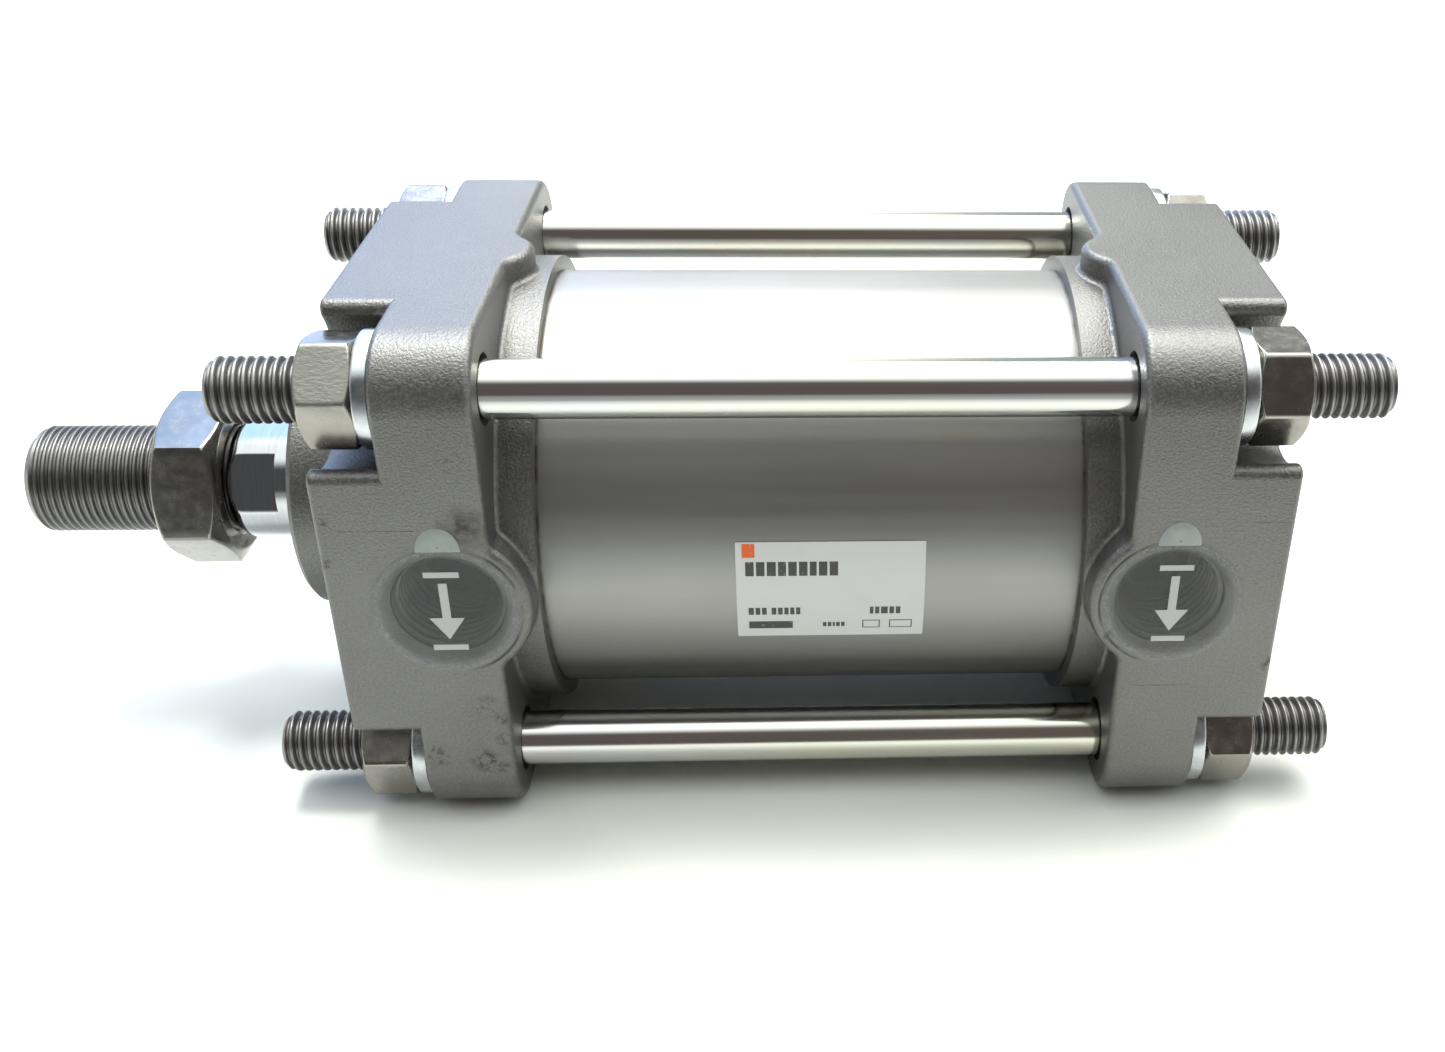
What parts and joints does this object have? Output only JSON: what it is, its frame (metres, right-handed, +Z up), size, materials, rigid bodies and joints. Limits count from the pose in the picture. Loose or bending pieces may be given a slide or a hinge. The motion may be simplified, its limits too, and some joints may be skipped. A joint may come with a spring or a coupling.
{
  "type": "pneumatic cylinder",
  "caption": "Double-acting tie-rod air cylinder with square cast covers, bare tube, threaded piston rod with jam nut, and air ports on one side.",
  "frame": {"origin": "centre of the rod cover's front mounting face, on the cylinder axis", "axes": "+X along the cylinder axis from the rod end to the head end, so the rod comes out towards -X; ports and label face -Y; +Z up"},
  "size_m": [0.264, 0.1022, 0.102],
  "materials": {
    "cast_aluminium": "fine-grained painted casting, satin grey",
    "anodised_tube": "satin anodised",
    "machined_aluminium": "turned, bare",
    "zinc_steel": "bright zinc plate, rolled threads",
    "zinc_washer": "bright bluish zinc plate",
    "nickel_nut": "nickel plated",
    "spring_steel": "dark, oiled",
    "hard_chrome": "hard chrome, ground",
    "bronze": "sintered",
    "seal_rubber": "matt black",
    "wear_resin": "matt resin",
    "magnet": "bonded magnet, matt",
    "label": "satin foil",
    "port_film": "frosted film"
  },
  "bodies": {
    "barrel": {"rod_cover": "cast_aluminium", "head_cover": "cast_aluminium", "cylinder_tube": "anodised_tube", "tie_rod_front_upper": "zinc_steel", "tie_rod_front_lower": "zinc_steel", "tie_rod_back_upper": "zinc_steel", "tie_rod_back_lower": "zinc_steel", "tie_rod_nut_rod_end_front_upper": "nickel_nut", "spring_washer_rod_end_front_upper": "zinc_washer", "tie_rod_nut_rod_end_front_lower": "nickel_nut", "spring_washer_rod_end_front_lower": "zinc_washer", "tie_rod_nut_rod_end_back_upper": "nickel_nut", "spring_washer_rod_end_back_upper": "zinc_washer", "tie_rod_nut_rod_end_back_lower": "nickel_nut", "spring_washer_rod_end_back_lower": "zinc_washer", "tie_rod_nut_head_end_front_upper": "nickel_nut", "spring_washer_head_end_front_upper": "zinc_washer", "tie_rod_nut_head_end_front_lower": "nickel_nut", "spring_washer_head_end_front_lower": "zinc_washer", "tie_rod_nut_head_end_back_upper": "nickel_nut", "spring_washer_head_end_back_upper": "zinc_washer", "tie_rod_nut_head_end_back_lower": "nickel_nut", "spring_washer_head_end_back_lower": "zinc_washer", "rod_bush": "bronze", "rod_seal": "seal_rubber", "seal_retainer": "spring_steel", "retainer_snap_ring": "spring_steel", "tube_gasket_rod_end": "seal_rubber", "cushion_seal_rod_end": "seal_rubber", "needle_snap_ring_rod_end": "spring_steel", "tube_gasket_head_end": "seal_rubber", "cushion_seal_head_end": "seal_rubber", "needle_snap_ring_head_end": "spring_steel", "label": "label"},
    "piston_seals": {"piston_seal": "seal_rubber", "wear_ring": "wear_resin"},
    "rod_assembly": {"piston_rod": "hard_chrome", "piston": "machined_aluminium", "piston_gasket": "seal_rubber", "piston_magnet": "magnet", "cushion_ring_front": "machined_aluminium", "cushion_ring_rear": "machined_aluminium"},
    "jam_nut": {"rod_end_nut": "nickel_nut"},
    "needle_carrier_rod_end": {"needle_seal_rod_end": "seal_rubber"},
    "needle_rod_end": {"cushion_needle_rod_end": "spring_steel"},
    "needle_carrier_head_end": {"needle_seal_head_end": "seal_rubber"},
    "needle_head_end": {"cushion_needle_head_end": "spring_steel"},
    "film_rod_end": {"port_film_rod_end": "port_film"},
    "film_head_end": {"port_film_head_end": "port_film"}
  },
  "joints": [
    {"name": "rod_slide", "type": "slide", "parent": "barrel", "child": "piston_seals", "axis": [-1, 0, 0], "range_m": [0, 0.06]},
    {"name": "rod_turn", "type": "hinge", "parent": "piston_seals", "child": "rod_assembly", "pos_m": [0, 0, 0], "axis": [-1, 0, 0], "continuous": true},
    {"name": "jam_nut_travel", "type": "slide", "parent": "rod_assembly", "child": "jam_nut", "axis": [-1, 0, 0], "range_m": [0, 0.027]},
    {"name": "needle_travel_rod_end", "type": "slide", "parent": "barrel", "child": "needle_carrier_rod_end", "axis": [0, 0, -1], "range_m": [0, 0.0015]},
    {"name": "needle_turn_rod_end", "type": "hinge", "parent": "needle_carrier_rod_end", "child": "needle_rod_end", "pos_m": [0.026, 0, -0.0477], "axis": [0, 0, -1], "range_deg": [0, 720]},
    {"name": "needle_travel_head_end", "type": "slide", "parent": "barrel", "child": "needle_carrier_head_end", "axis": [0, 0, -1], "range_m": [0, 0.0015]},
    {"name": "needle_turn_head_end", "type": "hinge", "parent": "needle_carrier_head_end", "child": "needle_head_end", "pos_m": [0.15, 0, -0.0477], "axis": [0, 0, -1], "range_deg": [0, 720]},
    {"name": "film_peel_rod_end", "type": "hinge", "parent": "barrel", "child": "film_rod_end", "pos_m": [0.021, -0.0512, -0.0135], "axis": [1, 0, 0], "range_deg": [0, 150]},
    {"name": "film_peel_head_end", "type": "hinge", "parent": "barrel", "child": "film_head_end", "pos_m": [0.155, -0.0512, -0.0135], "axis": [1, 0, 0], "range_deg": [0, 150]}
  ],
  "couplings": [
    {"joint": "needle_turn_rod_end", "follows": "needle_travel_rod_end", "rad_per_m": 8377.6},
    {"joint": "needle_turn_head_end", "follows": "needle_travel_head_end", "rad_per_m": 8377.6}
  ]
}
